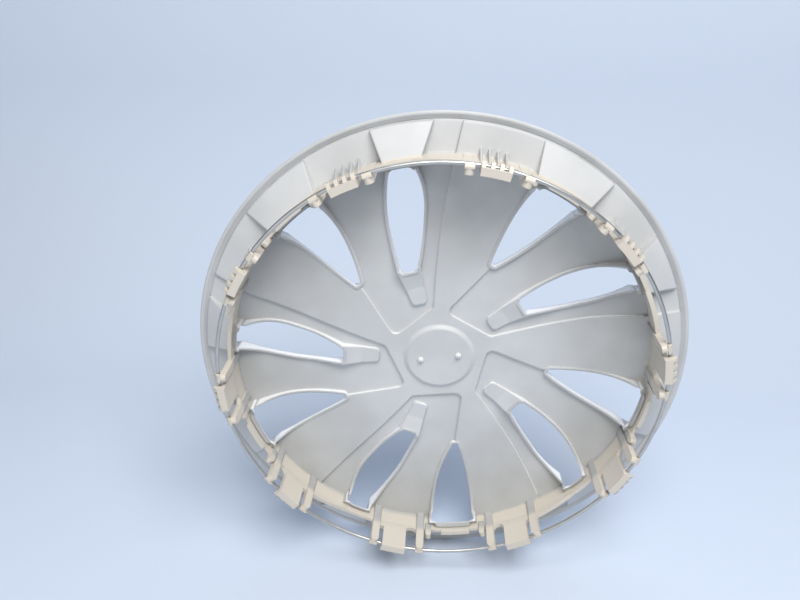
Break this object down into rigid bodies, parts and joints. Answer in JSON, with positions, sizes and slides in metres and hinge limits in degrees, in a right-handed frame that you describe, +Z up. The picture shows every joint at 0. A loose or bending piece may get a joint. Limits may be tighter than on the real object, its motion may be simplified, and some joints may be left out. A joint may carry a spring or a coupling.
{
  "type": "wheel cover",
  "caption": "Round clip-on wheel cover: a dished plastic moulding with tapered and slanted windows, a skirt of hooked clips at the back and a round retaining wire behind the hooks.",
  "frame": {"origin": "on the wheel axis, in the plane of the bead that rests on the wheel rim", "axes": "+Y along the wheel axis to the show side, clips towards -Y, +Z up as the cover leans in the picture"},
  "size_m": [0.412, 0.058, 0.412],
  "materials": {
    "silver_plastic": "satin silver-grey plastic",
    "spring_steel": "bright drawn wire"
  },
  "bodies": {
    "root": {"cover_moulding": "silver_plastic", "retaining_wire": "spring_steel"}
  },
  "joints": []
}
